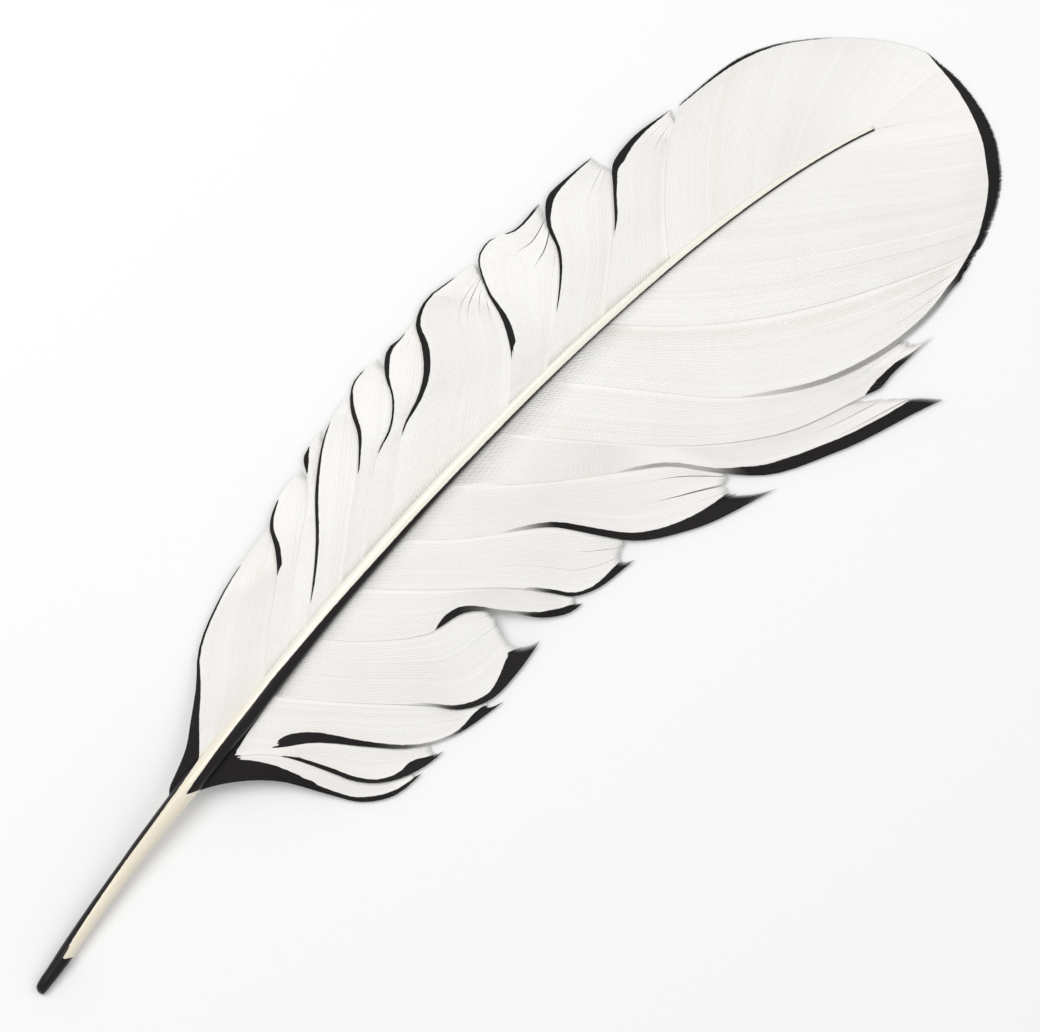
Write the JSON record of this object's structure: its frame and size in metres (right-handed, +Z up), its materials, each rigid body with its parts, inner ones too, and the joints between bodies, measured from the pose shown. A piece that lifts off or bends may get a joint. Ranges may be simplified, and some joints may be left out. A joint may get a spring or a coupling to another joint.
{
  "type": "feather",
  "caption": "Turkey wing feather lying flat: a horny quill and arched shaft between a narrow and a wide vane of parted barb locks.",
  "frame": {"origin": "centre of the feather's outline seen from above, on the surface that it lies on", "axes": "+X along the feather from the quill's end to the rounded tip, +Y across it towards the narrow vane, +Z up from the surface"},
  "size_m": [0.2988, 0.0998, 0.0103],
  "materials": {
    "keratin": "satin"
  },
  "bodies": {
    "root": {"feather": "keratin"}
  },
  "joints": []
}
